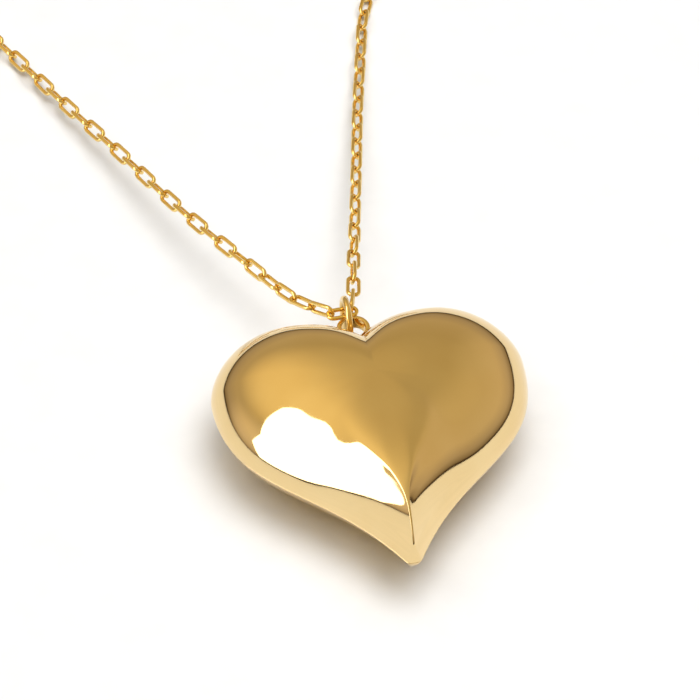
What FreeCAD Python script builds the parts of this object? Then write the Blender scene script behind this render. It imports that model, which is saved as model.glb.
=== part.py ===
"""Puffed heart pendant on a cable chain, lying on its back with the clasp open.

Row frame: millimetres, +Z up, the table at z = 0.  The heart is symmetric about
X = 0, its tip points to -Y and its cleft, loop and chain to +Y.  The origin is at
the bottom centre of the heart with its soldered loop.
"""
import FreeCAD, Part
import math
import os

import Sketcher

Vector = FreeCAD.Vector
Rotation = FreeCAD.Rotation
Placement = FreeCAD.Placement

# ---------------------------------------------------------------- driving sizes, mm
SIZES = [
    ("heart_width", 30.0, "across both lobes"),
    ("heart_length", 29.9, "tip to the tops of the lobes"),
    ("heart_thickness", 12.0, "front dome to back dome"),
    ("sheet_wall", 0.4, "gold sheet of both shells"),
    ("lobe_offset", 7.6, "lobe top from the centre plane"),
    ("widest_drop", 7.4, "widest place below the lobe tops"),
    ("seam_cleft_depth", 1.55, "cleft below the lobe tops at the seam"),
    ("face_cleft_depth", 3.4, "the same, carried up from the face"),
    ("tip_radius", 1.0, "round of the tip"),
    ("tip_half_angle", 29.0, "degrees, each flank from the centre plane"),
    ("vent_dia", 0.6, "soldering vent in the rear shell"),
    ("loop_outer_dia", 3.2, "soldered loop"),
    ("loop_wall", 0.45, ""),
    ("loop_height", 1.35, ""),
    ("loop_seat", 0.25, "depth that the loop is let into the cleft"),
    ("ring_outer_dia", 4.5, "jump ring"),
    ("ring_wire_dia", 0.65, ""),
    ("link_length", 3.2, "over the wire"),
    ("link_width", 1.45, "over the wire"),
    ("link_wire_dia", 0.38, ""),
    ("link_play", 0.03, "slack where two links meet"),
    ("end_ring_dia", 3.8, "ring that the clasp hooks into"),
    ("end_ring_wire_dia", 0.36, ""),
    ("clasp_ring_dia", 3.0, "ring between chain and clasp"),
    ("clasp_ring_wire_dia", 0.35, ""),
    ("clasp_outer_dia", 6.0, "spring-ring clasp"),
    ("clasp_tube_dia", 1.25, ""),
    ("clasp_bore_dia", 0.85, ""),
    ("clasp_mouth", 42.0, "degrees of the case left open"),
    ("bolt_overlap", 5.0, "degrees of the bolt in the front socket"),
    ("knob_dia", 0.5, "thumb knob on the bolt"),
    ("knob_height", 1.1, "knob above the tube's centre line"),
    ("eye_wire_dia", 0.3, "eye on the clasp case"),
    ("spring_wire_dia", 0.1, ""),
    ("running_gap", 0.05, "between the clasp's moving pieces"),
]

# Profile of the domes: 1 = spread**SPREAD_POWER + rise**RISE_POWER.
SPREAD_POWER = 3.9
RISE_POWER = 1.76
LEVELS = (0.0, 0.2, 0.4, 0.58, 0.72, 0.84, 0.92, 0.965, 0.99, 1.0)
CROWN_RISE = 0.995          # share of the rise where the flat crown closes a dome
CROWN_PLACE = 0.64          # crown centre, as a share of the heart's length from the tip

# Handles of the outline's curves.
CLEFT_SLOPE = 39.0          # degrees from +X, where the outline leaves the cleft
CLEFT_HANDLE = 0.342        # share of the lobe offset
LOBE_INNER_HANDLE = 0.513   # share of the lobe offset
LOBE_OUTER_HANDLE = 0.62    # share of the way across to the widest place
WIDEST_UPPER_HANDLE = 0.42  # share of the widest drop
WIDEST_LOWER_HANDLE = 0.5   # share of the run from the widest place to the tip's round
FLANK_HANDLE = 0.55         # share of the same run
TIP_HANDLE = 0.5            # share of the tip's radius
LEAST_TIP_RADIUS = 0.2      # mm, for the inner skin

# ---------------------------------------------------------------- chain layout, mm
REST_HEIGHT = 0.59          # centre of a rolled link that lies on the table
RING_OFFSET = Vector(-0.42, 1.35, 0.5)           # jump ring from the loop's centre
CENTRE_LINK_OFFSET = Vector(-0.44, -0.16, 1.02)  # from the jump ring's centre
CENTRE_LINK_TURN = 3.4                           # degrees from +X
CENTRE_LINK_ROLL = 0.0                           # degrees from flat

LEFT_RUN = [(-4.6, 19.6, 6.2), (-7.1, 25.4, 4.7), (-10.3, 33.0, 2.3), (-13.4, 40.3, 0.8),
            (-17.2, 48.3, 0.59), (-21.2, 55.6, 0.59), (-25.0, 63.2, 0.59),
            (-29.0, 70.6, 0.59), (-33.2, 77.6, 0.59)]
RIGHT_RUN = [(0.9, 18.7, 6.9), (1.6, 22.9, 5.5), (2.9, 29.2, 2.9), (4.3, 36.0, 0.9),
             (5.8, 43.2, 0.59), (7.3, 50.6, 0.59), (9.1, 58.4, 0.59),
             (11.1, 66.4, 0.59), (13.6, 74.4, 0.59)]
LEFT_COIL_CENTRE = (-23.6, 88.5)
RIGHT_COIL_CENTRE = (3.1, 83.0)
COIL_OUTER_RADIUS = 11.0
COIL_SPACING = 1.45
LEFT_COIL_TURNS = 2.62
RIGHT_COIL_TURNS = 2.88
COIL_TUCK = 1.6             # extra turn-in at the end of the last turn
TUCK_TURNS = 0.6            # stretch of the last turn that tucks in
POLES_PER_TURN = 14
FINE_POINTS = 12000
NAMED_LINKS = 6
OUTER_TURN_LINKS = 28
REST_ROLL = 135.0           # degrees, links that lie on the table
SETTLING_LINKS = 6          # links over which the first roll goes over to that
END_RING_TURN = -4.0        # degrees, each ring from the line of its last link
CLASP_RING_TURN = -2.0
CLASP_TURN = 80.0           # degrees, the clasp from the line of its ring


def make_sheet(doc):
    """Spreadsheet with one named cell for each driving size."""
    sheet = doc.addObject("Spreadsheet::Sheet", "sizes")
    for row, (alias, value, note) in enumerate(SIZES, start=1):
        sheet.set("A%d" % row, alias)
        sheet.set("B%d" % row, str(value))
        sheet.set("C%d" % row, note)
        sheet.setAlias("B%d" % row, alias)
    doc.recompute()
    return sheet


def fixed_shape(doc, label, shape, placement=None):
    """Part::Feature that holds a computed shape."""
    piece = doc.addObject("Part::Feature", label)
    piece.Label = label
    piece.Shape = shape
    if placement is not None:
        piece.Placement = placement
    return piece


def bind(piece, **cells):
    """Tie properties of a document object to expressions on the sheet."""
    for name, expression in cells.items():
        piece.setExpression(name, expression)
    return piece


# ---------------------------------------------------------------- heart
class Heart:
    """Outline, domes and place of the heart, worked out from the sheet."""

    def __init__(self, sheet):
        self.half_width = sheet.heart_width / 2
        self.length = sheet.heart_length
        self.rise = sheet.heart_thickness / 2
        self.lobe_offset = sheet.lobe_offset
        self.widest_drop = sheet.widest_drop
        self.seam_cleft = sheet.seam_cleft_depth
        self.face_cleft = sheet.face_cleft_depth
        self.tip_radius = sheet.tip_radius
        self.tip_angle = math.radians(sheet.tip_half_angle)
        self.cleft_slope = math.radians(CLEFT_SLOPE)
        reach = (sheet.loop_outer_dia / 2 - sheet.loop_seat) / math.cos(self.cleft_slope)
        loop_from_tip = self.length - self.seam_cleft + reach
        self.tip_y = -(loop_from_tip + sheet.loop_outer_dia / 2) / 2
        self.lobe_y = self.tip_y + self.length
        self.crown_y = self.tip_y + CROWN_PLACE * self.length
        self.loop_centre = Vector(0, self.tip_y + loop_from_tip, self.rise)

    def half_outline(self, inset, level):
        """Bezier control points of the right half, cleft to tip, before scaling."""
        soften = level * level * (3 - 2 * level)
        depth = self.seam_cleft + (self.face_cleft - self.seam_cleft) * soften
        cleft = Vector(0, self.lobe_y - depth - inset / math.cos(self.cleft_slope), 0)
        lobe = Vector(self.lobe_offset, self.lobe_y - inset, 0)
        widest = Vector(self.half_width - inset, self.lobe_y - self.widest_drop, 0)
        radius = max(self.tip_radius - inset, LEAST_TIP_RADIUS)
        centre_y = self.tip_y + self.tip_radius
        flank = Vector(radius * math.cos(self.tip_angle), centre_y - radius * math.sin(self.tip_angle), 0)
        bottom = Vector(0, centre_y - radius, 0)
        along = Vector(math.sin(self.tip_angle), math.cos(self.tip_angle), 0)
        rise_dir = Vector(math.cos(self.cleft_slope), math.sin(self.cleft_slope), 0)
        drop = self.widest_drop
        run = widest.y - flank.y
        return [
            (cleft, cleft + rise_dir * (CLEFT_HANDLE * self.lobe_offset),
             lobe - Vector(LOBE_INNER_HANDLE * self.lobe_offset, 0, 0), lobe),
            (lobe, lobe + Vector(LOBE_OUTER_HANDLE * (widest.x - lobe.x), 0, 0),
             widest + Vector(0, WIDEST_UPPER_HANDLE * drop, 0), widest),
            (widest, widest - Vector(0, WIDEST_LOWER_HANDLE * run, 0),
             flank + along * (FLANK_HANDLE * run), flank),
            (flank, flank - along * (TIP_HANDLE * radius),
             bottom + Vector(TIP_HANDLE * radius, 0, 0), bottom),
        ]

    def section(self, level, inset):
        """Closed wire of the heart's outline at one level of a dome."""
        spread = (1 - (CROWN_RISE * level) ** RISE_POWER) ** (1 / SPREAD_POWER)
        crown = Vector(0, self.crown_y, 0)
        height = (self.rise - inset) * level
        right, left = [], []
        for points in self.half_outline(inset, level):
            placed = [crown + (point - crown) * spread + Vector(0, 0, height) for point in points]
            right.append(placed)
            left.append([Vector(-p.x, p.y, p.z) for p in reversed(placed)])
        edges = []
        for poles in right + left[::-1]:
            curve = Part.BezierCurve()
            curve.setPoles(poles)
            edges.append(curve.toShape())
        return Part.Wire(edges)

    def dome(self, inset):
        """Solid dome above the seam plane, which is at z = 0 here."""
        return Part.makeLoft([self.section(level, inset) for level in LEVELS], True, False)


def make_shells(doc, sheet, heart):
    """Front and rear shells, which meet face to face at the seam."""
    outer = heart.dome(0.0)
    hollow = heart.dome(sheet.sheet_wall)
    shell = outer.cut(hollow)
    seam = Placement(Vector(0, 0, heart.rise), Rotation())
    front = fixed_shape(doc, "front_shell", shell, seam)
    vent = Part.makeCylinder(sheet.vent_dia / 2, heart.rise, Vector(0, heart.crown_y, 0))
    rear_shape = shell.cut(vent).mirror(Vector(0, 0, 0), Vector(0, 0, 1))
    rear = fixed_shape(doc, "rear_shell", rear_shape, seam)
    return front, rear, outer


def make_heart_loop(doc, sheet, heart, outer):
    """Short tube soldered into the cleft, its axis square to the heart's face."""
    centre = heart.loop_centre
    base = centre - Vector(0, 0, sheet.loop_height / 2)
    tube = Part.makeCylinder(sheet.loop_outer_dia / 2, sheet.loop_height, base)
    bore = Part.makeCylinder(sheet.loop_outer_dia / 2 - sheet.loop_wall, sheet.loop_height, base)
    upper = outer.copy()
    upper.translate(Vector(0, 0, heart.rise))
    lower = outer.mirror(Vector(0, 0, 0), Vector(0, 0, 1))
    lower.translate(Vector(0, 0, heart.rise))
    return fixed_shape(doc, "heart_loop", tube.cut(bore).cut(upper).cut(lower))


# ---------------------------------------------------------------- rings and links
def make_ring(doc, label, outer_cell, wire_cell, placement):
    """Closed round ring of round wire."""
    ring = doc.addObject("Part::Torus", label)
    ring.Label = label
    bind(ring, Radius1="(sizes.%s - sizes.%s) / 2 * 1mm" % (outer_cell, wire_cell),
         Radius2="sizes.%s / 2 * 1mm" % wire_cell)
    ring.Placement = placement
    return ring


def origin_plane(body, role):
    """One of a body's own origin planes."""
    return [plane for plane in body.Origin.OriginFeatures if plane.Role == role][0]


def make_link_pattern(doc):
    """One chain link: a round wire swept round a slot-shaped path in the XY plane."""
    body = doc.addObject("PartDesign::Body", "link_pattern")
    path = body.newObject("Sketcher::SketchObject", "link_path")
    path.AttachmentSupport = [(origin_plane(body, "XY_Plane"), "")]
    path.MapMode = "FlatFace"
    half, bend = 0.9, 0.5
    normal = Vector(0, 0, 1)
    path.addGeometry([
        Part.LineSegment(Vector(-half, bend, 0), Vector(half, bend, 0)),
        Part.ArcOfCircle(Part.Circle(Vector(half, 0, 0), normal, bend), -math.pi / 2, math.pi / 2),
        Part.LineSegment(Vector(half, -bend, 0), Vector(-half, -bend, 0)),
        Part.ArcOfCircle(Part.Circle(Vector(-half, 0, 0), normal, bend), math.pi / 2, 3 * math.pi / 2),
    ])
    for line, line_end, arc, arc_end in ((0, 2, 1, 2), (2, 1, 1, 1), (2, 2, 3, 2), (0, 1, 3, 1)):
        path.addConstraint(Sketcher.Constraint("Tangent", line, line_end, arc, arc_end))
    path.addConstraint(Sketcher.Constraint("Horizontal", 0))
    path.addConstraint(Sketcher.Constraint("Symmetric", 1, 3, 3, 3, -1, 1))
    bend_radius = path.addConstraint(Sketcher.Constraint("Radius", 1, bend))
    straight = path.addConstraint(Sketcher.Constraint("DistanceX", 0, 1, 0, 2, 2 * half))
    path.setExpression("Constraints[%d]" % bend_radius,
                       "(sizes.link_width - sizes.link_wire_dia) / 2 * 1mm")
    path.setExpression("Constraints[%d]" % straight,
                       "(sizes.link_length - sizes.link_width) * 1mm")
    wire = body.newObject("Sketcher::SketchObject", "link_wire")
    wire.AttachmentSupport = [(origin_plane(body, "YZ_Plane"), "")]
    wire.MapMode = "FlatFace"
    wire.addGeometry(Part.Circle(Vector(bend, 0, 0), normal, 0.19))
    wire.addConstraint(Sketcher.Constraint("PointOnObject", 0, 3, -1))
    offset = wire.addConstraint(Sketcher.Constraint("DistanceX", -1, 1, 0, 3, bend))
    radius = wire.addConstraint(Sketcher.Constraint("Radius", 0, 0.19))
    wire.setExpression("Constraints[%d]" % offset, "(sizes.link_width - sizes.link_wire_dia) / 2 * 1mm")
    wire.setExpression("Constraints[%d]" % radius, "sizes.link_wire_dia / 2 * 1mm")
    doc.recompute()
    pipe = body.newObject("PartDesign::AdditivePipe", "link_sweep")
    pipe.Profile = wire
    pipe.Spine = path
    doc.recompute()
    return body


def link_placement(start, end, roll):
    """Place of a link between two joints, rolled about its own length."""
    along = (end - start).normalize()
    side = Vector(0, 0, 1).cross(along).normalize()
    up = along.cross(side)
    turn = math.radians(roll)
    across = side * math.cos(turn) + up * math.sin(turn)
    normal = along.cross(across)
    return Placement((start + end) * 0.5, Rotation(along, across, normal, "XYZ"))


def coil_points(centre, start_angle, hand, turns):
    """Route points of a flat coil, from its outer turn inwards."""
    points = []
    for step in range(round(turns * POLES_PER_TURN) + 1):
        turn = step / POLES_PER_TURN
        angle = math.radians(start_angle) + hand * 2 * math.pi * turn
        tuck = COIL_TUCK * max(0, 1 - (turns - turn) / TUCK_TURNS) ** 2
        radius = COIL_OUTER_RADIUS - COIL_SPACING * turn - tuck
        points.append((centre[0] + radius * math.cos(angle),
                       centre[1] + radius * math.sin(angle), REST_HEIGHT))
    return points


def route_joints(start, points, pitch):
    """Joints one pitch apart on the smooth route that the points steer."""
    poles = [start] + [Vector(*point) for point in points]
    spans = len(poles) - 2
    curve = Part.BSplineCurve()
    curve.buildFromPolesMultsKnots(poles, [3] + [1] * (spans - 1) + [3],
                                   [float(knot) for knot in range(spans + 1)], False, 2)
    fine = curve.discretize(Number=FINE_POINTS)
    joints = [start]
    for before, after in zip(fine, fine[1:]):
        reach = (after - joints[-1]).Length
        if reach >= pitch:
            short = pitch - (before - joints[-1]).Length
            joints.append(before + (after - before) * (short / (after - before).Length))
    return joints


def hook_joint(sheet, placement, end, towards):
    """First joint of a strand that leads towards a point, and the bend that it turns about."""
    bend = Vector(end * (sheet.link_length - sheet.link_width) / 2, 0, 0)
    lead = placement.inverse().multVec(towards) - bend
    lead.z = 0
    lead.normalize()
    held_wire = placement.multVec(bend + lead * (sheet.link_width - sheet.link_wire_dia) / 2)
    pull = (towards - held_wire).normalize()
    joint = held_wire - pull * (sheet.link_wire_dia + sheet.link_play) / 2
    return joint, placement.multVec(bend)


def straddling_roll(start, end, normal):
    """Roll of a first link whose plane holds the centre link's normal."""
    frame = link_placement(start, end, 0).Rotation
    local = frame.inverted().multVec(normal)
    return math.degrees(math.atan2(local.z, local.y))


def make_strand(doc, side, pattern, joints, first_roll, coil_start):
    """Links of one side: the nearest ones singly, then the strand and two coil groups."""
    shapes = []
    for index, (start, end) in enumerate(zip(joints, joints[1:])):
        settled = min(index / SETTLING_LINKS, 1)
        roll = first_roll + (REST_ROLL - first_roll) * settled + 90 * (index % 2)
        link = pattern.Shape.copy()
        link.Placement = link_placement(start, end, roll)
        shapes.append(link)
    nodes = [fixed_shape(doc, "link_%s_%02d" % (side, index + 1), shapes[index])
             for index in range(NAMED_LINKS)]
    groups = [("%s_strand_links" % side, shapes[NAMED_LINKS:coil_start]),
              ("%s_coil_outer_turn" % side, shapes[coil_start:coil_start + OUTER_TURN_LINKS]),
              ("%s_coil_inner_turns" % side, shapes[coil_start + OUTER_TURN_LINKS:])]
    for label, group in groups:
        nodes.append(fixed_shape(doc, label, Part.makeCompound(group)))
    return nodes


# ---------------------------------------------------------------- spring-ring clasp
class Clasp:
    """Angles and radii of the spring-ring clasp, in its own frame with the eye at -X."""

    mouth_middle = 60.0
    bolt_tail = 32.0            # degrees of the bolt behind the mouth
    knob_place = 12.0           # degrees behind the mouth
    spring_room = 46.0          # degrees kept for the squeezed spring

    def __init__(self, sheet):
        self.radius = (sheet.clasp_outer_dia - sheet.clasp_tube_dia) / 2
        self.mouth_start = self.mouth_middle - sheet.clasp_mouth / 2
        self.mouth_end = self.mouth_middle + sheet.clasp_mouth / 2
        self.travel = sheet.clasp_mouth + sheet.bolt_overlap
        self.bolt_start = self.mouth_start - sheet.bolt_overlap
        self.bolt_sweep = self.travel + self.bolt_tail
        self.socket_start = self.bolt_start - 2.0
        self.spring_start = self.mouth_end + self.bolt_tail + self.travel + 2.0
        self.bore_end = self.spring_start + self.spring_room
        self.knob_angle = self.mouth_end + self.knob_place
        self.eye_inner = sheet.clasp_tube_dia / 2 - sheet.eye_wire_dia
        self.eye_reach = self.radius + sheet.clasp_tube_dia / 2 + self.eye_inner


def turned(degrees):
    """Placement that turns a piece about Z."""
    return Placement(Vector(), Rotation(Vector(0, 0, 1), degrees))


def make_arc(doc, name, tube_cell, start, sweep, radius_change=""):
    """Part of a torus about the clasp's axis, from one angle over a sweep."""
    arc = doc.addObject("Part::Torus", name)
    bind(arc, Radius1="(sizes.clasp_outer_dia - sizes.clasp_tube_dia) / 2 * 1mm",
         Radius2="(sizes.%s%s) / 2 * 1mm" % (tube_cell, radius_change))
    arc.Angle3 = sweep
    arc.Placement = turned(start)
    return arc


def join(doc, kind, name, base, tool):
    """Part::Cut or Part::Fuse of two document objects."""
    result = doc.addObject("Part::" + kind, name)
    result.Base = base
    result.Tool = tool
    return result


def make_clasp(doc, sheet, clasp, placement):
    """Hollow case with its eye, the sliding bolt with its knob, and the spring."""
    tube = make_arc(doc, "case_tube", "clasp_tube_dia", clasp.mouth_end, 360 - sheet.clasp_mouth)
    eye = doc.addObject("Part::Torus", "case_eye")
    bind(eye, Radius1="(sizes.clasp_tube_dia - sizes.eye_wire_dia) / 2 * 1mm",
         Radius2="sizes.eye_wire_dia / 2 * 1mm")
    eye.Placement = Placement(Vector(-clasp.eye_reach, 0, 0), Rotation(Vector(1, 0, 0), 90))
    body = join(doc, "Fuse", "case_body", tube, eye)
    back_bore = make_arc(doc, "case_back_bore", "clasp_bore_dia", clasp.mouth_end,
                         clasp.bore_end - clasp.mouth_end)
    front_bore = make_arc(doc, "case_front_bore", "clasp_bore_dia", clasp.socket_start,
                          clasp.mouth_start - clasp.socket_start)
    bored = join(doc, "Cut", "case_bored", join(doc, "Cut", "case_half_bored", body, back_bore),
                 front_bore)
    margin = math.degrees((sheet.knob_dia / 2 + 2 * sheet.running_gap) / clasp.radius)
    slot = doc.addObject("Part::Cylinder", "case_slot")
    bind(slot, Radius="sizes.clasp_outer_dia / 2 * 1mm",
         Height="(sizes.knob_dia + 2 * sizes.running_gap) * 1mm")
    slot.Angle = clasp.travel + 2 * margin
    core = doc.addObject("Part::Cylinder", "case_slot_core")
    bind(core, Radius="(sizes.clasp_outer_dia - sizes.clasp_tube_dia) / 2 * 1mm",
         Height="(sizes.knob_dia + 2 * sizes.running_gap) * 1mm")
    core.Angle = 360
    drop = Vector(0, 0, -sheet.knob_dia / 2 - sheet.running_gap)
    slot.Placement = Placement(drop, Rotation(Vector(0, 0, 1), clasp.knob_angle - margin))
    core.Placement = Placement(drop, Rotation())
    case = join(doc, "Cut", "clasp_case", bored, join(doc, "Cut", "case_slot_cut", slot, core))
    case.Label = "clasp_case"
    case.Placement = placement

    rod = make_arc(doc, "bolt_rod", "clasp_bore_dia", clasp.bolt_start, clasp.bolt_sweep,
                   " - 2 * sizes.running_gap")
    knob = doc.addObject("Part::Cylinder", "bolt_knob")
    bind(knob, Radius="sizes.knob_dia / 2 * 1mm", Height="sizes.knob_height * 1mm")
    outward = Rotation(Vector(0, 0, 1), clasp.knob_angle)
    knob.Placement = Placement(outward.multVec(Vector(clasp.radius, 0, 0)),
                               outward * Rotation(Vector(0, 1, 0), 90))
    bolt = join(doc, "Fuse", "clasp_bolt", rod, knob)
    bolt.Label = "clasp_bolt"
    bolt.Placement = placement

    coil_radius = (sheet.clasp_bore_dia - sheet.spring_wire_dia) / 2 - sheet.running_gap
    step = math.degrees(1.3 * sheet.spring_wire_dia / (clasp.radius - coil_radius))
    coils = []
    for index in range(int((clasp.spring_room - 2) / step)):
        around = Rotation(Vector(0, 0, 1), clasp.spring_start + step * (index + 0.5))
        place = around.multVec(Vector(clasp.radius, 0, 0))
        coils.append(Part.makeTorus(coil_radius, sheet.spring_wire_dia / 2, place,
                                    around.multVec(Vector(0, 1, 0))))
    spring = fixed_shape(doc, "clasp_spring", Part.makeCompound(coils), placement)
    return [case, bolt, spring]


def ring_beyond(sheet, joints, turn, outer_dia, wire_dia):
    """Centre of a ring in the last link, the direction to it, and the link's inner bend."""
    along = (joints[-1] - joints[-2]).normalize()
    lead = Rotation(Vector(0, 0, 1), turn).multVec(along)
    bend = (joints[-1] + joints[-2]) * 0.5 + along * (sheet.link_length - sheet.link_width) / 2
    return bend + lead * (outer_dia - wire_dia) / 2, lead, bend


def make_fittings(doc, sheet, left_joints, right_joints):
    """End ring on the left strand; clasp ring and clasp on the right strand."""
    end_centre, lead, left_bend = ring_beyond(
        sheet, left_joints, END_RING_TURN, sheet.end_ring_dia, sheet.end_ring_wire_dia)
    end_ring = make_ring(doc, "end_ring", "end_ring_dia", "end_ring_wire_dia",
                         Placement(end_centre, Rotation()))
    centre, lead, right_bend = ring_beyond(
        sheet, right_joints, CLASP_RING_TURN, sheet.clasp_ring_dia, sheet.clasp_ring_wire_dia)
    clasp_ring = make_ring(doc, "clasp_ring", "clasp_ring_dia", "clasp_ring_wire_dia",
                           Placement(centre, Rotation()))
    clasp = Clasp(sheet)
    inward = Rotation(Vector(0, 0, 1), CLASP_TURN).multVec(lead)
    inner = sheet.clasp_ring_dia / 2 - sheet.clasp_ring_wire_dia
    middle = centre + inward * (inner - sheet.link_play + clasp.eye_inner + clasp.eye_reach)
    middle.z = sheet.clasp_tube_dia / 2
    heading = math.degrees(math.atan2(inward.y, inward.x))
    placement = Placement(middle, Rotation(Vector(0, 0, 1), heading))
    places = {"left last bend": left_bend, "right last bend": right_bend,
              "end ring centre": end_centre, "clasp ring centre": centre, "clasp centre": middle,
              "bolt travel": Vector(clasp.travel, 0, 0)}
    return [end_ring, clasp_ring] + make_clasp(doc, sheet, clasp, placement), places


def check_and_export(doc, nodes):
    """Stop on any failed object or shape, then write one STEP file for each node."""
    failed = [item.Name for item in doc.Objects
              if "Invalid" in item.State or "Error" in item.State]
    failed += [node.Label for node in nodes if node.Shape.isNull() or not node.Shape.isValid()]
    if failed:
        raise RuntimeError("failed: " + ", ".join(failed))
    os.makedirs("parts", exist_ok=True)
    for node in nodes:
        node.Shape.exportStep("parts/%s.step" % node.Label)
        print("%-22s solids %3d  volume %9.4f" % (node.Label, len(node.Shape.Solids), node.Shape.Volume))


def main():
    doc = FreeCAD.newDocument("pendant_necklace")
    sheet = make_sheet(doc)
    heart = Heart(sheet)
    front, rear, outer = make_shells(doc, sheet, heart)
    nodes = [front, rear, make_heart_loop(doc, sheet, heart, outer)]

    ring_centre = heart.loop_centre + RING_OFFSET
    upright = Rotation(Vector(0, 1, 0), 90)
    nodes.append(make_ring(doc, "jump_ring", "ring_outer_dia", "ring_wire_dia",
                           Placement(ring_centre, upright)))

    pattern = make_link_pattern(doc)
    pitch = sheet.link_length - 2 * sheet.link_wire_dia - sheet.link_play
    centre = ring_centre + CENTRE_LINK_OFFSET
    reach = Rotation(Vector(0, 0, 1), CENTRE_LINK_TURN).multVec(Vector(1, 0, 0))
    place = link_placement(centre - reach, centre + reach, CENTRE_LINK_ROLL)
    centre_link = pattern.Shape.copy()
    centre_link.Placement = place
    nodes.append(fixed_shape(doc, "centre_link", centre_link))

    places = {"jump ring centre": ring_centre, "centre link": centre}
    strands = {}
    for side, end, run, coil in (
            ("left", -1, LEFT_RUN, coil_points(LEFT_COIL_CENTRE, 180, -1, LEFT_COIL_TURNS)),
            ("right", 1, RIGHT_RUN, coil_points(RIGHT_COIL_CENTRE, 0, 1, RIGHT_COIL_TURNS))):
        start, bend = hook_joint(sheet, place, end, Vector(*run[0]))
        joints = route_joints(start, run + coil, pitch)
        roll = straddling_roll(joints[0], joints[1], place.Rotation.multVec(Vector(0, 0, 1)))
        coil_start = next(index for index, joint in enumerate(joints) if joint.y > coil[0][1])
        nodes += make_strand(doc, side, pattern, joints, roll, coil_start)
        strands[side] = joints
        places["%s first joint" % side] = start
        places["%s bend" % side] = bend
        places["%s coil joint" % side] = joints[coil_start]
        print("%s side: %d links, first roll %.2f, coil from link %d"
              % (side, len(joints) - 1, roll, coil_start + 1))
    fittings, fitting_places = make_fittings(doc, sheet, strands["left"], strands["right"])
    nodes += fittings
    places.update(fitting_places)
    doc.recompute()
    check_and_export(doc, nodes)
    for name, point in places.items():
        print("place %-18s %9.4f %9.4f %9.4f" % (name, point.x, point.y, point.z))


main()
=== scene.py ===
"""Looks of a puffed gold heart on a fine cable chain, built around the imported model.

Lengths in the fields are millimetres in the row frame: the table at z = 0, the heart's
tip towards -Y and its chain towards +Y.  Meshes are in metres.
"""
import logging
import math
from dataclasses import dataclass, field
from enum import Enum
from typing import Any, Iterable, Sequence

import bpy
import numpy as np
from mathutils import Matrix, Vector


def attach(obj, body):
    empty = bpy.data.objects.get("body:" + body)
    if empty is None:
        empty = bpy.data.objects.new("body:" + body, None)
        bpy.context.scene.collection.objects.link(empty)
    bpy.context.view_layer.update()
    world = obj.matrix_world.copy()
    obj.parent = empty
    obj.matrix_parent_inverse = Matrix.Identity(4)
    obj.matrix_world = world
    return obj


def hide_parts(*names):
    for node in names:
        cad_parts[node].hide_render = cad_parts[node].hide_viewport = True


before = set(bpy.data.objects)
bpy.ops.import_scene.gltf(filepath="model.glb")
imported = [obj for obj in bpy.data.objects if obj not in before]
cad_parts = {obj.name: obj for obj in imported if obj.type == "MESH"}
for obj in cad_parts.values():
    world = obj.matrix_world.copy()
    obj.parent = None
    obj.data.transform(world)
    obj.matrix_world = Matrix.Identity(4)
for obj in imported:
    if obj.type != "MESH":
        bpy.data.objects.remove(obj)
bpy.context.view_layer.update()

MM: float = 0.001
log = logging.getLogger("pendant necklace")


class Side(Enum):
    """The two strands of the chain."""

    LEFT = "left"
    RIGHT = "right"


class Slot(Enum):
    """Material slots of the record."""

    HEART = "heart_gold"
    CHAIN = "chain_gold"
    FITTING = "fitting_gold"
    SPRING = "spring_steel"


# ------------------------------------------------------------------ colours and nodes
def linear(hex_colour: str) -> tuple[float, float, float, float]:
    """Turn an sRGB hex colour into a linear one.

    Args:
        hex_colour: The colour as six hex digits after a hash.

    Returns:
        Linear red, green, blue and an alpha of 1.
    """
    parts = [int(hex_colour[place:place + 2], 16) / 255 for place in (1, 3, 5)]
    made = [part / 12.92 if part <= 0.04045 else ((part + 0.055) / 1.055) ** 2.4 for part in parts]
    return (made[0], made[1], made[2], 1.0)


def add_node(
    tree: bpy.types.NodeTree,
    kind: str,
    values: dict[str | int, Any] | None = None,
    links: dict[str | int, bpy.types.NodeSocket] | None = None,
    **settings: Any,
) -> bpy.types.Node:
    """Add one shader node with its settings, socket values and incoming links.

    Args:
        tree: The node tree that takes the node.
        kind: Blender's name of the node type.
        values: Constants for the node's own sockets.
        links: Output sockets to join to the node's inputs.
        settings: Properties of the node itself.

    Returns:
        The new node.
    """
    node = tree.nodes.new(kind)
    for name, setting in settings.items():
        setattr(node, name, setting)
    for socket, value in (values or {}).items():
        node.inputs[socket].default_value = value
    for socket, source in (links or {}).items():
        tree.links.new(source, node.inputs[socket])
    return node


def fill_ramp(ramp: bpy.types.Node, stops: Sequence[tuple[float, str]]) -> None:
    """Set the stops of a colour ramp.

    Args:
        ramp: The colour ramp node.
        stops: Each stop's place from 0 to 1 and its sRGB hex colour.
    """
    elements = ramp.color_ramp.elements
    while len(elements) < len(stops):
        elements.new(1.0)
    for element, (place, colour) in zip(elements, stops):
        element.position = place
        element.color = linear(colour)


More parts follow.
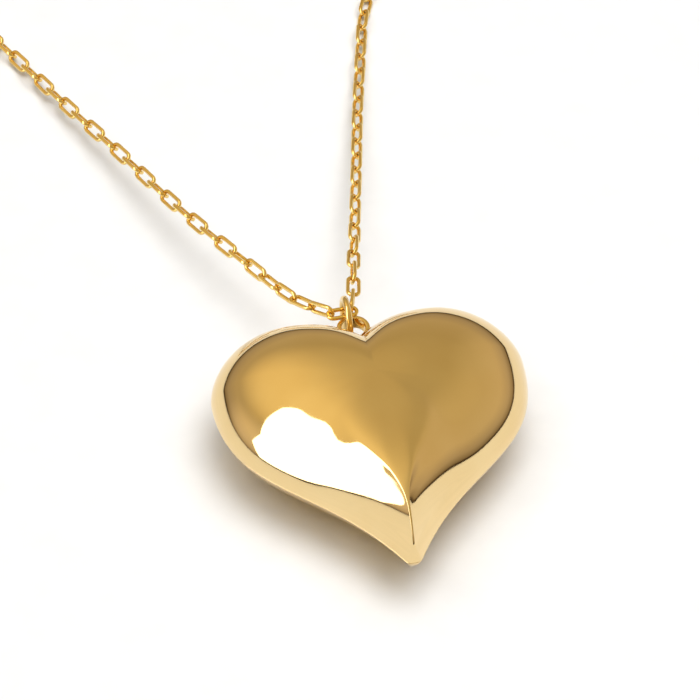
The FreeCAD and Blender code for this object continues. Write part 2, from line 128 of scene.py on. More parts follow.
# ------------------------------------------------------------------ finishes
@dataclass(frozen=True)
class PolishedMetal:
    """A polished or drawn metal, with the faint marks that its making leaves."""

    name: str
    light_tone: str
    deep_tone: str
    tone_mm: float
    smoothest: float
    roughest: float
    haze_mm: float
    wave_mm: float
    wave_height_mm: float

    def material(self) -> bpy.types.Material:
        """Build the finish as a procedural material.

        Returns:
            The material, ready for a mesh.
        """
        made = bpy.data.materials.new(self.name)
        made.use_nodes = True
        tree = made.node_tree
        tree.nodes.clear()
        place = add_node(tree, "ShaderNodeTexCoord").outputs["Object"]
        tone = add_node(tree, "ShaderNodeTexNoise",
                        {"Scale": 1 / (self.tone_mm * MM), "Detail": 3.0}, {"Vector": place})
        tones = add_node(tree, "ShaderNodeValToRGB", links={"Fac": tone.outputs["Fac"]})
        fill_ramp(tones, [(0.3, self.deep_tone), (0.7, self.light_tone)])
        haze = add_node(tree, "ShaderNodeTexNoise",
                        {"Scale": 1 / (self.haze_mm * MM), "Detail": 5.0, "Roughness": 0.6},
                        {"Vector": place})
        rough = add_node(tree, "ShaderNodeMapRange",
                         {"From Min": 0.3, "From Max": 0.7, "To Min": self.smoothest,
                          "To Max": self.roughest}, {"Value": haze.outputs["Fac"]})
        wave = add_node(tree, "ShaderNodeTexNoise",
                        {"Scale": 1 / (self.wave_mm * MM), "Detail": 1.0}, {"Vector": place})
        bump = add_node(tree, "ShaderNodeBump",
                        {"Strength": 1.0, "Distance": self.wave_height_mm * MM},
                        {"Height": wave.outputs["Fac"]})
        metal = add_node(tree, "ShaderNodeBsdfPrincipled", {"Metallic": 1.0},
                         {"Base Color": tones.outputs["Color"],
                          "Roughness": rough.outputs["Result"], "Normal": bump.outputs["Normal"]})
        add_node(tree, "ShaderNodeOutputMaterial", links={"Surface": metal.outputs["BSDF"]})
        return made


@dataclass(frozen=True)
class TablePaper:
    """Matt white paper that covers the table."""

    name: str = "matt_white_paper"
    light_tone: str = "#F7F6F4"
    deep_tone: str = "#F3F2F0"
    fibre_mm: float = 4.0

    def material(self) -> bpy.types.Material:
        """Build the paper as a procedural material.

        Returns:
            The material, ready for the table.
        """
        made = bpy.data.materials.new(self.name)
        made.use_nodes = True
        tree = made.node_tree
        tree.nodes.clear()
        place = add_node(tree, "ShaderNodeTexCoord").outputs["Object"]
        fibres = add_node(tree, "ShaderNodeTexNoise",
                          {"Scale": 1 / (self.fibre_mm * MM), "Detail": 4.0}, {"Vector": place})
        tones = add_node(tree, "ShaderNodeValToRGB", links={"Fac": fibres.outputs["Fac"]})
        fill_ramp(tones, [(0.3, self.deep_tone), (0.7, self.light_tone)])
        sheet = add_node(tree, "ShaderNodeBsdfPrincipled",
                         {"Roughness": 0.9, "Specular IOR Level": 0.0},
                         {"Base Color": tones.outputs["Color"]})
        add_node(tree, "ShaderNodeOutputMaterial", links={"Surface": sheet.outputs["BSDF"]})
        return made


# Pressed gold sheet, mirror polished with rouge: a clear reflection with a breath of haze
# where the mop left its last strokes, and a faint swell from hammering out the press marks.
# The polishing haze is really a few hundredths of a millimetre fine; it is drawn coarser.
MIRROR_POLISHED_GOLD = PolishedMetal(
    "mirror_polished_yellow_gold", "#EBD09A", "#E8CB93", 5.0, 0.025, 0.06, 1.2, 4.5, 0.0012)

# Drawn gold wire, soldered and tumbled with steel shot: bright, but softer than a mirror,
# with small dents that break up its reflections.
TUMBLED_GOLD_WIRE = PolishedMetal(
    "tumbled_yellow_gold_wire", "#F5D68A", "#EEC974", 2.0, 0.07, 0.16, 0.5, 0.35, 0.004)

# Turned and polished gold fittings: rings and clasp, between the two.
BURNISHED_GOLD_FITTING = PolishedMetal(
    "burnished_yellow_gold_fitting", "#F1D391", "#EBC87E", 2.5, 0.05, 0.11, 0.6, 0.8, 0.004)

# Hard-drawn steel wire: grey, with dark draw lines.
HARD_DRAWN_STEEL = PolishedMetal(
    "hard_drawn_spring_steel", "#B9BBBD", "#8E9194", 0.6, 0.18, 0.34, 0.2, 0.1, 0.0008)


# ------------------------------------------------------------------ mesh building
class Surface:
    """Collects grids of points, in millimetres, and turns them into one mesh."""

    def __init__(self) -> None:
        """Start with no points."""
        self.points: list[np.ndarray] = []
        self.faces: list[tuple[int, ...]] = []
        self.count: int = 0

    def add_grid(self, grid: np.ndarray, close_rows: bool, flip: bool = False) -> None:
        """Add a grid whose columns run round a closed loop.

        Args:
            grid: Points as rows, columns and three coordinates.
            close_rows: Whether the last row joins the first.
            flip: Whether to turn the faces round.
        """
        rows, columns = grid.shape[:2]
        last = rows if close_rows else rows - 1
        for row in range(last):
            here, there = self.count + row * columns, self.count + (row + 1) % rows * columns
            for column in range(columns):
                nxt = (column + 1) % columns
                face = (here + column, here + nxt, there + nxt, there + column)
                self.faces.append(face[::-1] if flip else face)
        self.points.append(grid.reshape(-1, 3))
        self.count += rows * columns

    def add_cap(self, first: int, columns: int, centre: Sequence[float], flip: bool = False) -> None:
        """Close a ring of points with a fan.

        Args:
            first: Number of the ring's first point.
            columns: Points in the ring.
            centre: Middle of the fan.
            flip: Whether to turn the faces round.
        """
        for column in range(columns):
            face = (first + column, first + (column + 1) % columns, self.count)
            self.faces.append(face[::-1] if flip else face)
        self.points.append(np.array([centre], float))
        self.count += 1

    def piece(self, name: str, finish: bpy.types.Material, slot: Slot, body: str,
              nodes: Iterable[str]) -> bpy.types.Object:
        """Make the mesh object, dress it and let it ride on its body.

        Args:
            name: Name of the piece.
            finish: Its material.
            slot: The record's material slot; not used.
            body: The body that carries it.
            nodes: The CAD nodes that it stands for.

        Returns:
            The mesh object.
        """
        mesh = bpy.data.meshes.new(name)
        mesh.from_pydata((np.concatenate(self.points) * MM).tolist(), [], self.faces)
        mesh.validate()
        mesh.shade_smooth()
        mesh.materials.append(finish)
        made = bpy.data.objects.new(name, mesh)
        bpy.context.scene.collection.objects.link(made)
        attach(made, body)
        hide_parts(*nodes)
        log.info("%s: %d faces", name, len(mesh.polygons))
        return made


def ring_grid(centre: Sequence[float], axis: str, radius: float, wire: float, steps: int,
              sides: int, join_angle: float) -> np.ndarray:
    """Points of a round wire ring with a faint soldered join.

    Args:
        centre: Middle of the ring.
        axis: "X" for an upright ring, "Z" for one that lies flat.
        radius: Radius of the wire's centre line.
        wire: Radius of the wire.
        steps: Points round the ring.
        sides: Points round the wire.
        join_angle: Degrees round the ring to the join.

    Returns:
        The grid of points.
    """
    turn = np.linspace(0, 2 * math.pi, steps, endpoint=False)
    around = np.linspace(0, 2 * math.pi, sides, endpoint=False)
    away = (np.degrees(turn) - join_angle + 180) % 360 - 180
    thin = wire * (1 - 0.07 * np.exp(-(away / 2.2) ** 2))
    reach = radius + thin[:, None] * np.cos(around)
    rise = thin[:, None] * np.sin(around)
    flat_a, flat_b = reach * np.cos(turn)[:, None], reach * np.sin(turn)[:, None]
    parts = (rise, flat_a, flat_b) if axis == "X" else (flat_a, flat_b, rise)
    return np.stack(parts, -1) + np.array(centre)


# ------------------------------------------------------------------ heart
@dataclass
class PuffedHeart:
    """Two pressed shells soldered at a seam, and the loop in their cleft."""

    half_width: float = 15.0
    length: float = 29.9
    rise: float = 6.0
    wall: float = 0.4
    lobe_offset: float = 7.6
    widest_drop: float = 7.4
    seam_cleft: float = 1.55
    face_cleft: float = 3.4
    tip_radius: float = 1.0
    tip_angle: float = math.radians(29)
    cleft_slope: float = math.radians(39)
    tip_y: float = -15.8436
    rise_power: float = 1.76
    rear_shoulder: float = 3.0
    rear_rise_power: float = 1.4
    crown_share: float = 0.64
    # Round of the tip by share of the rise: sharp along the ridge, soft towards the crown.
    ridge: tuple[tuple[float, float], ...] = (
        (0, 1.0), (0.12, 0.7), (0.3, 0.2), (0.5, 0.12), (0.8, 0.16), (0.9, 0.6), (0.96, 2.2), (1, 4.0))
    vent_radius: float = 0.3
    loop_outer: float = 1.6
    loop_wall: float = 0.45
    loop_height: float = 1.35
    loop_soften: float = 0.11
    loop_centre: tuple[float, float, float] = (0.0, 14.2436, 6.0)
    groove: float = 0.02
    tip_groove: float = 0.05
    tip_groove_from: float = -8.0
    tip_groove_over: float = 6.0
    rows: int = 76
    inner_rows: int = 30
    level_steps: int = 80
    crown_radius: float = 0.12
    curve_points: int = 26
    # How square the dome's shoulder is, by degrees from the tip's direction.
    shoulder: tuple[tuple[float, float], ...] = (
        (0, 6.5), (20, 5.2), (40, 3.4), (65, 2.85), (90, 3.0), (120, 3.7), (140, 3.7), (180, 3.4))

    @property
    def crown_y(self) -> float:
        """Place of the crown along the heart."""
        return self.tip_y + self.crown_share * self.length

    def tip_round(self, level: float) -> float:
        """Radius of the tip at one level of a dome.

        Args:
            level: Share of the rise, from 0 at the seam to 1.

        Returns:
            The radius.
        """
        places, radii = zip(*self.ridge)
        near = np.clip(level + np.linspace(-0.04, 0.04, 9) * min(1.0, level / 0.04), 0, 1)
        return float(np.interp(near, places, radii).mean())

    def outline(self, inset: float, level: float) -> np.ndarray:
        """Closed outline of the heart at one level of a dome.

        Args:
            inset: How far the skin lies inside the outer one.
            level: Share of the rise, from 0 at the seam to 1.

        Returns:
            Points in the plane, from the cleft down the right side and back up the left.
        """
        soften = level * level * (3 - 2 * level)
        depth = self.seam_cleft + (self.face_cleft - self.seam_cleft) * soften
        lobe_y = self.tip_y + self.length
        round_off = self.tip_round(level)
        radius = max(round_off - inset, 0.1)
        centre_y = self.tip_y + round_off + 2 * inset
        cleft = np.array([0, lobe_y - depth - inset / math.cos(self.cleft_slope)])
        lobe = np.array([self.lobe_offset, lobe_y - inset])
        widest = np.array([self.half_width - inset, lobe_y - self.widest_drop])
        flank = np.array([radius * math.cos(self.tip_angle), centre_y - radius * math.sin(self.tip_angle)])
        bottom = np.array([0, centre_y - radius])
        along = np.array([math.sin(self.tip_angle), math.cos(self.tip_angle)])
        leave = np.array([math.cos(self.cleft_slope), math.sin(self.cleft_slope)])
        right, up = np.array([1.0, 0.0]), np.array([0.0, 1.0])
        run = widest[1] - flank[1]
        spans = [
            (cleft, cleft + leave * 0.342 * self.lobe_offset, lobe - right * 0.513 * self.lobe_offset, lobe),
            (lobe, lobe + right * 0.62 * (widest[0] - lobe[0]),
             widest + up * 0.42 * self.widest_drop, widest),
            (widest, widest - up * 0.5 * run, flank + along * 0.55 * run, flank),
            (flank, flank - along * 0.5 * radius, bottom + right * 0.5 * radius, bottom)]
        step = np.linspace(0, 1, self.curve_points, endpoint=False)[:, None]
        half = [(1 - step) ** 3 * a + 3 * (1 - step) ** 2 * step * b + 3 * (1 - step) * step ** 2 * c
                + step ** 3 * d for a, b, c, d in spans]
        side = np.concatenate(half + [bottom[None]])
        return np.concatenate([side, side[::-1][1:-1] * (-1, 1)])

    def shoulder_power(self) -> np.ndarray:
        """Squareness of the dome's shoulder at each point of the outline.

        Returns:
            One power for each point.
        """
        rim = self.outline(0.0, 0.0) - (0, self.crown_y)
        angle = np.degrees(np.arctan2(np.abs(rim[:, 0]), -rim[:, 1]))
        places, powers = zip(*self.shoulder)
        offsets = np.linspace(-14, 14, 15)
        weights = np.exp(-(offsets / 7) ** 2)
        near = np.abs(angle[:, None] + offsets)
        near = np.where(near > 180, 360 - near, near)
        return (np.interp(near, places, powers) * weights).sum(1) / weights.sum()

    def skin(self, inset: float, rows: int, least: float, rear: bool) -> np.ndarray:
        """One smooth skin of a dome above the seam.

        Args:
            inset: How far it lies inside the outer skin.
            rows: Rings of points from the rim to the crown.
            least: Radius of the last ring.
            rear: Whether it is the rear dome, which slopes away sooner.

        Returns:
            The grid of points.
        """
        power = np.full_like(self.shoulder_power(), self.rear_shoulder) if rear else self.shoulder_power()
        rise_power = self.rear_rise_power if rear else self.rise_power
        levels = np.linspace(0, 1, self.level_steps + 1)
        table = np.stack([self.outline(inset, level) for level in levels])
        column = np.arange(table.shape[1])
        crown = np.array([0, self.crown_y])
        grid = []
        for part in np.linspace(0, 1, rows):
            spread = 1 - part ** 2.2 * 0.975
            height = (1 - np.minimum(spread ** power, 1)) ** (1 / rise_power)
            low = np.minimum((height * self.level_steps).astype(int), self.level_steps - 1)
            share = (height * self.level_steps - low)[:, None]
            reach = (table[low, column] * (1 - share) + table[low + 1, column] * share - crown) * spread
            size = np.linalg.norm(reach, axis=1, keepdims=True)
            rounding = max(0.0, min(1.0, (0.22 - spread) / 0.19)) ** 1.5
            wanted = size * (1 - rounding) + max(least, size.mean() * (1 - rounding)) * rounding
            place = crown + reach / size * wanted
            grid.append(np.c_[place, self.rise + (self.rise - inset) * height])
        return np.array(grid)

    def shell(self, rear: bool) -> Surface:
        """Closed shell with its wall, and a groove along the seam.

        Args:
            rear: Whether it is the rear shell, which has the soldering vent.

        Returns:
            The shell's surface.
        """
        least = self.vent_radius if rear else self.crown_radius
        outer = self.skin(0.0, self.rows, least, rear)
        inner = self.skin(self.wall, self.inner_rows, least, rear)
        rim = outer[0].copy()
        near_tip = np.clip((self.tip_groove_from - rim[:, 1]) / self.tip_groove_over, 0, 1)[:, None]
        depth = self.groove + (self.tip_groove - self.groove) * near_tip
        inward = np.array([0, self.crown_y, self.rise]) - rim
        inward /= np.linalg.norm(inward, axis=1, keepdims=True)
        lip = outer[0].copy()
        lip[:, 2] += 0.9 * depth[:, 0]
        grid = np.concatenate([(rim + inward * depth)[None], lip[None], outer[1:]])
        grid[2, :, 2] = np.maximum(grid[2, :, 2], lip[:, 2] + 0.004)
        if rear:
            for layer in (grid, inner):
                layer[..., 2] = 2 * self.rise - layer[..., 2]
        made = Surface()
        columns = grid.shape[1]
        if rear:
            made.add_grid(np.concatenate([grid, inner[::-1]]), True)
            return made
        made.add_grid(np.concatenate([inner[::-1], grid]), False, flip=True)
        made.add_cap(0, columns, (0, self.crown_y, inner[-1, :, 2].max()))
        made.add_cap((len(inner) + len(grid) - 1) * columns, columns,
                     (0, self.crown_y, grid[-1, :, 2].max()), flip=True)
        return made

    def loop(self) -> Surface:
        """Short tube with softened edges, standing square to the face.

        Returns:
            The loop's surface.
        """
        soft, half = self.loop_soften, self.loop_height / 2
        outside, inside = self.loop_outer - soft, self.loop_outer - self.loop_wall + soft
        profile = []
        corners = [(outside, half - soft, 0), (inside, half - soft, 90),
                   (inside, soft - half, 180), (outside, soft - half, 270)]
        for reach, rise, start in corners:
            for turn in np.radians(np.linspace(start, start + 90, 6)):
                profile.append((reach + soft * math.cos(turn), rise + soft * math.sin(turn)))
        turns = np.linspace(0, 2 * math.pi, 128, endpoint=False)[:, None]
        reach, rise = np.array(profile).T
        grid = np.stack([reach * np.cos(turns), reach * np.sin(turns), rise + 0 * turns], -1)
        made = Surface()
        made.add_grid(grid + np.array(self.loop_centre), True, flip=True)
        return made

    def build(self, finish: bpy.types.Material, fitting: bpy.types.Material) -> None:
        """Build and dress the shells and the loop.

        Args:
            finish: Finish of the shells.
            fitting: Finish of the loop.
        """
        self.shell(False).piece("heart_front", finish, Slot.HEART, "heart", ["front_shell"])
        self.shell(True).piece("heart_rear", finish, Slot.HEART, "heart", ["rear_shell"])
        self.loop().piece("cleft_loop", fitting, Slot.HEART, "heart", ["heart_loop"])


# ------------------------------------------------------------------ links
@dataclass
class CableLink:
    """One link: drawn wire bent to a slot, soldered, its faces flattened a little."""

    length: float = 3.2
    width: float = 1.45
    wire: float = 0.38
    play: float = 0.03
    squareness: float = 2.7
    bend_steps: int = 12
    sides: int = 12

    @property
    def pitch(self) -> float:
        """Distance between the joints of neighbouring links."""
        return self.length - 2 * self.wire - self.play

    def grid(self) -> np.ndarray:
        """Points of a link that lies in the XY plane, its length along X.

        Returns:
            The grid of points.
        """
        half, bend = (self.length - self.width) / 2, (self.width - self.wire) / 2
        turns = np.radians(np.linspace(-90, 90, self.bend_steps + 1))
        right = np.c_[half + bend * np.cos(turns), bend * np.sin(turns)]
        path = np.concatenate([right, -right])
        outward = np.concatenate([np.c_[np.cos(turns), np.sin(turns)]] * 2)
        outward[len(turns):] *= -1
        around = np.linspace(0, 2 * math.pi, self.sides, endpoint=False) + math.pi / self.sides
        shape = [np.sign(wave) * np.abs(wave) ** (2 / self.squareness) * self.wire / 2
                 for wave in (np.cos(around), np.sin(around))]
        grid = np.zeros((len(path), self.sides, 3))
        grid[..., :2] = path[:, None] + outward[:, None] * shape[0][:, None]
        grid[..., 2] = shape[1]
        return grid

    def placed(self, start: np.ndarray, end: np.ndarray, roll: float) -> np.ndarray:
        """Points of the link between two joints, rolled about its own length.

        Args:
            start: The joint that it begins at.
            end: The joint that it ends at.
            roll: Degrees from lying flat.

        Returns:
            The grid of points.
        """
        along = (end - start) / np.linalg.norm(end - start)
        side = np.cross((0, 0, 1), along)
        side /= np.linalg.norm(side)
        turn = math.radians(roll)
        across = side * math.cos(turn) + np.cross(along, side) * math.sin(turn)
        return self.grid() @ np.array([along, across, np.cross(along, across)]) + (start + end) / 2


@dataclass
class Strand:
    """One side of the chain: a strand that leaves the pendant, and its put-away coil."""

    side: Side
    start: tuple[float, float, float]
    run: Sequence[tuple[float, float, float]]
    coil_centre: tuple[float, float]
    coil_start: float
    hand: int
    turns: float
    end_pieces: list[bpy.types.Object] = field(default_factory=list)
    link: CableLink = field(default_factory=CableLink)
    rest_height: float = 0.59
    coil_radius: float = 11.0
    coil_spacing: float = 1.45
    tuck: float = 1.6
    tuck_turns: float = 0.6
    poles_per_turn: int = 14
    first_roll: float = 90.0
    rest_roll: float = 135.0
    settling_links: int = 6

    def poles(self) -> list[tuple[float, float, float]]:
        """Points that steer the route, from the pendant to the coil's inner end.

        Returns:
            The points.
        """
        made = [self.start, *self.run]
        for step in range(round(self.turns * self.poles_per_turn) + 1):
            turn = step / self.poles_per_turn
            angle = math.radians(self.coil_start) + self.hand * 2 * math.pi * turn
            tuck = self.tuck * max(0.0, 1 - (self.turns - turn) / self.tuck_turns) ** 2
            radius = self.coil_radius - self.coil_spacing * turn - tuck
            made.append((self.coil_centre[0] + radius * math.cos(angle),
                         self.coil_centre[1] + radius * math.sin(angle), self.rest_height))
        return made

    def route(self) -> np.ndarray:
        """Points read from the smooth curve that the poles steer.

        Returns:
            Points in millimetres, close together.
        """
        poles = self.poles()
        curve = bpy.data.curves.new(f"{self.side.value}_route", "CURVE")
        curve.dimensions = "3D"
        spline = curve.splines.new("NURBS")
        spline.points.add(len(poles) - 1)
        for point, pole in zip(spline.points, poles):
            point.co = (*pole, 1.0)
        spline.order_u = 3
        spline.use_endpoint_u = True
        spline.resolution_u = 48
        carrier = bpy.data.objects.new(curve.name, curve)
        mesh = bpy.data.meshes.new_from_object(carrier)
        points = np.array([vertex.co[:] for vertex in mesh.vertices])
        bpy.data.objects.remove(carrier)
        bpy.data.curves.remove(curve)
        bpy.data.meshes.remove(mesh)
        return points

    def joints(self, route: np.ndarray) -> tuple[np.ndarray, list[int]]:
        """Walk along the route, one link at a time.

        Args:
            route: Points of the smooth route.

        Returns:
            The joints, and for each the number of the route's point just before it.
        """
        made, places = [route[0]], [0]
        for number in range(1, len(route)):
            before, after = route[number - 1], route[number]
            if np.linalg.norm(after - made[-1]) >= self.link.pitch:
                short = self.link.pitch - np.linalg.norm(before - made[-1])
                made.append(before + (after - before) * short / np.linalg.norm(after - before))
                places.append(number)
        return np.array(made), places

    def build(self, finish: bpy.types.Material) -> None:
        """Build the links of the strand and of the coil.

        Args:
            finish: Finish of the links.
        """
        route = self.route()
        joints, places = self.joints(route)
        coil_from = int(np.argmax(joints[:, 1] > self.coil_centre[1]))
        strand, coil = Surface(), Surface()
        for index in range(len(joints) - 1):
            settled = min(index / self.settling_links, 1)
            roll = self.first_roll + (self.rest_roll - self.first_roll) * settled + 90 * (index % 2)
            grid = self.link.placed(joints[index], joints[index + 1], roll)
            (strand if index < coil_from else coil).add_grid(grid, True)
        name = self.side.value
        log.info("%s side: %d links, coil from link %d at %s", name, len(joints) - 1, coil_from + 1,
                 np.round(joints[coil_from], 3))
        nodes = [f"link_{name}_{number:02d}" for number in range(1, 7)] + [f"{name}_strand_links"]
        made = strand.piece(f"{name}_strand", finish, Slot.CHAIN, f"{name}_strand", nodes)
        made = coil.piece(f"{name}_coil", finish, Slot.CHAIN, f"{name}_coil",
                          [f"{name}_coil_outer_turn", f"{name}_coil_inner_turns"])


# ------------------------------------------------------------------ rings and clasp
@dataclass
class HangingRings:
    """The jump ring in the heart's loop and the centre link above it."""

    ring_centre: tuple[float, float, float] = (-0.42, 15.5936, 6.5)
    ring_outer_dia: float = 4.5
    ring_wire_dia: float = 0.65
    link_centre: tuple[float, float, float] = (-0.86, 15.4336, 7.52)
    link_turn: float = 3.4
    link: CableLink = field(default_factory=CableLink)

    def build(self, ring_finish: bpy.types.Material, link_finish: bpy.types.Material) -> None:
        """Build and dress the ring and the link.

        Args:
            ring_finish: Finish of the jump ring.
            link_finish: Finish of the centre link.
        """
        ring = Surface()
        ring.add_grid(ring_grid(self.ring_centre, "X", (self.ring_outer_dia - self.ring_wire_dia) / 2,
                                self.ring_wire_dia / 2, 160, 28, 200.0), True)
        ring.piece("bail_ring", ring_finish, Slot.FITTING, "jump_ring", ["jump_ring"])
        turn = math.radians(self.link_turn)
        reach = np.array([math.cos(turn), math.sin(turn), 0.0])
        middle = np.array(self.link_centre)
        link = Surface()
        link.add_grid(self.link.placed(middle - reach, middle + reach, 0.0), True)
        link.piece("middle_link", link_finish, Slot.CHAIN, "centre_link", ["centre_link"])


@dataclass
class SpringRingClasp:
    """End ring, clasp ring and the spring-ring clasp with its bolt and spring."""

    end_ring_centre: tuple[float, float, float] = (-19.9701, 84.2311, 0.59)
    end_ring_dia: float = 3.8
    end_ring_wire: float = 0.36
    clasp_ring_centre: tuple[float, float, float] = (5.5569, 77.8373, 0.59)
    clasp_ring_dia: float = 3.0
    clasp_ring_wire: float = 0.35

    def build(self, fitting: bpy.types.Material,
              steel: bpy.types.Material) -> dict[Side, list[bpy.types.Object]]:
        """Build the rings and dress the clasp.

        Args:
            fitting: Finish of the gold fittings.
            steel: Finish of the spring.

        Returns:
            The pieces on the end of each strand.
        """
        rings = []
        for name, body, centre, dia, wire, join in (
                ("loose_end_ring", "end_ring", self.end_ring_centre, self.end_ring_dia,
                 self.end_ring_wire, 60.0),
                ("clasp_side_ring", "clasp_ring", self.clasp_ring_centre, self.clasp_ring_dia,
                 self.clasp_ring_wire, 230.0)):
            made = Surface()
            made.add_grid(ring_grid(centre, "Z", (dia - wire) / 2, wire / 2, 96, 20, join), True)
            rings.append(made.piece(name, fitting, Slot.FITTING, body, [body]))
        clasp = []
        for node, finish in (("clasp_case", fitting), ("clasp_bolt", fitting), ("clasp_spring", steel)):
            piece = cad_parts[node]
            piece.data.materials.clear()
            piece.data.materials.append(finish)
            clasp.append(piece)
            log.info("%s: dressed with %s", node, finish.name)
        return {Side.LEFT: [rings[0]], Side.RIGHT: [rings[1], *clasp[:2]]}


# ------------------------------------------------------------------ studio
def direction(azimuth: float, elevation: float) -> np.ndarray:
    """Unit vector from a compass angle and a height angle.

    Args:
        azimuth: Degrees from +Y towards +X.
        elevation: Degrees above the table.

    Returns:
        The unit vector.
    """
    turn, rise = math.radians(azimuth), math.radians(elevation)
    return np.array([math.sin(turn) * math.cos(rise), math.cos(turn) * math.cos(rise), math.sin(rise)])


@dataclass
class Studio:
    """White table, warm room, one strip softbox at the side and two soft lights overhead."""

    # The camera's place, heading and lens come from a fit that a program made.
    camera_place: tuple[float, float, float] = (-59.07, -296.98, 327.99)
    camera_heading: tuple[float, float, float] = (0.12956, 0.68645, -0.71554)
    focal_length: float = 243.3
    table_half: float = 4.0
    softbox_corners: tuple[tuple[float, float], ...] = (
        (-112, 1.5), (-126, 3), (-124, 20), (-120, 38), (-108, 54), (-85, 66), (-60, 72), (-36, 70),
        (-36, 63), (-50, 55), (-70, 43), (-85, 29), (-87, 14), (-98, 2))
    softbox_distance: float = 1.3
    softbox_strength: float = 3.4
    ceiling_place: tuple[float, float, float] = (0.0, 0.0, 1.0)
    ceiling_size: float = 1.8
    ceiling_power: float = 13.2
    lamp_place: tuple[float, float, float] = (0.14, -0.06, 0.80)
    lamp_size: float = 0.60
    lamp_power: float = 3.0
    glows: tuple[tuple[float, float, float, float, str], ...] = (
        (-38, 58, 0.80, 0.45, "#FFE4A6"), (-84, 12, 0.86, 0.30, "#FFF0DC"),
        (70, 28, 0.80, 0.14, "#FFE9C4"))
    room_stops: tuple[tuple[float, str], ...] = (
        (0.0, "#4A3B2C"), (0.02, "#4F3F2E"), (0.05, "#8F8069"), (0.15, "#B0A088"),
        (0.35, "#C2B08C"), (0.6, "#BCAA80"), (0.8, "#C4B283"), (1.0, "#D8C89C"))

    def camera(self) -> None:
        """Set up the camera."""
        data = bpy.data.cameras.new("camera")
        data.lens = self.focal_length
        data.sensor_width = 36.0
        made = bpy.data.objects.new("camera", data)
        bpy.context.scene.collection.objects.link(made)
        made.location = [part * MM for part in self.camera_place]
        made.rotation_mode = "QUATERNION"
        made.rotation_quaternion = Vector(self.camera_heading).to_track_quat("-Z", "Y")
        bpy.context.scene.camera = made

    def table(self) -> None:
        """Lay the paper on the table."""
        half = self.table_half
        mesh = bpy.data.meshes.new("table")
        mesh.from_pydata([(-half, -half, 0), (half, -half, 0), (half, half, 0), (-half, half, 0)], [],
                         [(0, 1, 2, 3)])
        mesh.materials.append(TablePaper().material())
        made = bpy.data.objects.new("table", mesh)
        bpy.context.scene.collection.objects.link(made)

    def softbox(self) -> None:
        """Hang the strip softbox that the polished heart mirrors."""
        points = [direction(*corner) * self.softbox_distance for corner in self.softbox_corners]
        middle = sum(points) / len(points)
        mesh = bpy.data.meshes.new("softbox")
        count = len(points)
        mesh.from_pydata([point.tolist() for point in points] + [middle.tolist()], [],
                         [(place, (place + 1) % count, count) for place in range(count)])
        cloth = bpy.data.materials.new("softbox_cloth")
        cloth.use_nodes = True
        cloth.node_tree.nodes.clear()
        glow = add_node(cloth.node_tree, "ShaderNodeEmission", {"Strength": self.softbox_strength})
        add_node(cloth.node_tree, "ShaderNodeOutputMaterial", links={"Surface": glow.outputs["Emission"]})
        mesh.materials.append(cloth)
        made = bpy.data.objects.new("softbox", mesh)
        bpy.context.scene.collection.objects.link(made)
        made.visible_camera = False
        made.visible_diffuse = False
        made.visible_shadow = False

    def lamp(self, name: str, place: tuple[float, float, float], size: float, power: float) -> None:
        """Hang a round light that the polished gold doesn't mirror.

        Args:
            name: Name of the light.
            place: Its place, in metres.
            size: Its width, in metres.
            power: Its power, in watts.
        """
        data = bpy.data.lights.new(name, "AREA")
        data.shape = "DISK"
        data.size = size
        data.energy = power
        made = bpy.data.objects.new(name, data)
        bpy.context.scene.collection.objects.link(made)
        made.location = place
        made.rotation_mode = "QUATERNION"
        made.rotation_quaternion = (-Vector(place)).to_track_quat("-Z", "Y")
        made.visible_glossy = False

    def room(self) -> None:
        """Surround the table with a dim warm room, darkest along the table's edge."""
        world = bpy.data.worlds.new("warm_room")
        bpy.context.scene.world = world
        world.use_nodes = True
        tree = world.node_tree
        tree.nodes.clear()
        look = add_node(tree, "ShaderNodeTexCoord").outputs["Generated"]
        height = add_node(tree, "ShaderNodeSeparateXYZ", links={"Vector": look})
        walls = add_node(tree, "ShaderNodeValToRGB", links={"Fac": height.outputs["Z"]})
        fill_ramp(walls, self.room_stops)
        light = add_node(tree, "ShaderNodeBackground", links={"Color": walls.outputs["Color"]})
        for azimuth, elevation, edge, strength, colour in self.glows:
            toward = add_node(tree, "ShaderNodeVectorMath", {1: direction(azimuth, elevation).tolist()},
                              {0: look}, operation="DOT_PRODUCT")
            near = add_node(tree, "ShaderNodeMapRange", {"From Min": edge, "To Max": strength},
                            {"Value": toward.outputs["Value"]}, interpolation_type="SMOOTHSTEP")
            glow = add_node(tree, "ShaderNodeBackground", {"Color": linear(colour)},
                            {"Strength": near.outputs["Result"]})
            light = add_node(tree, "ShaderNodeAddShader", links={0: light.outputs[0], 1: glow.outputs[0]})
        add_node(tree, "ShaderNodeOutputWorld", links={"Surface": light.outputs[0]})
        world.cycles_visibility.diffuse = False

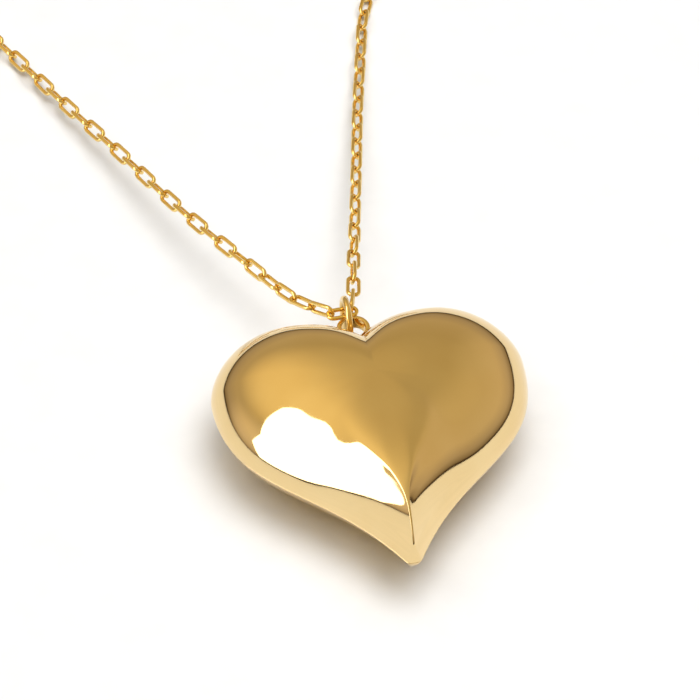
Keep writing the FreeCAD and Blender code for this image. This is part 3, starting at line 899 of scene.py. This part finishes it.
    def build(self) -> None:
        """Set up the camera, the table, the lights and the room."""
        bpy.context.scene.view_settings.view_transform = "Standard"
        self.camera()
        self.table()
        self.softbox()
        self.lamp("ceiling_light", self.ceiling_place, self.ceiling_size, self.ceiling_power)
        self.lamp("shadow_lamp", self.lamp_place, self.lamp_size, self.lamp_power)
        self.room()
        log.info("studio: table, softbox, two lights, room and camera")


# Points that steer each strand.  The heights, and the first two points on the left, were given
# one by one.  The other places were worked out by a program: it raised the part's own points along
# the camera's line of sight and moved the last two of each run to keep the strand's length.
LEFT_RUN: tuple[tuple[float, float, float], ...] = (
    (-4.7, 18.6, 6.4), (-7.3, 23.8, 5.8), (-10.79, 30.41, 5.0), (-13.96, 37.33, 3.9),
    (-17.6, 46.18, 2.8), (-21.42, 54.44, 1.8), (-25.07, 62.81, 1.0), (-28.9, 70.6, 0.59),
    (-34.05, 77.6, 0.59))
RIGHT_RUN: tuple[tuple[float, float, float], ...] = (
    (0.85, 18.41, 7.2), (1.42, 21.94, 6.5), (2.47, 26.9, 5.3), (3.7, 32.84, 4.2),
    (5.35, 40.79, 3.1), (7.04, 49.25, 2.0), (9.01, 57.91, 1.1), (10.88, 66.37, 0.62),
    (15.37, 74.4, 0.59))


def main() -> None:
    """Build the studio, the necklace and its clasp."""
    logging.basicConfig(level=logging.INFO, format="%(name)s: %(message)s")
    Studio().build()
    heart_gold = MIRROR_POLISHED_GOLD.material()
    wire_gold = TUMBLED_GOLD_WIRE.material()
    fitting_gold = BURNISHED_GOLD_FITTING.material()
    steel = HARD_DRAWN_STEEL.material()
    ends = SpringRingClasp().build(fitting_gold, steel)
    Strand(Side.LEFT, start=(-1.9235, 15.6613, 7.5769), run=LEFT_RUN, coil_centre=(-23.6, 88.5),
           coil_start=180.0, hand=-1, turns=2.62, end_pieces=ends[Side.LEFT]).build(wire_gold)
    Strand(Side.RIGHT, start=(0.1025, 15.8083, 7.5643), run=RIGHT_RUN, coil_centre=(3.1, 83.0),
           coil_start=0.0, hand=1, turns=2.88, end_pieces=ends[Side.RIGHT]).build(wire_gold)
    HangingRings().build(fitting_gold, wire_gold)
    PuffedHeart().build(heart_gold, fitting_gold)
    bpy.context.view_layer.update()


if __name__ == "__main__":
    main()
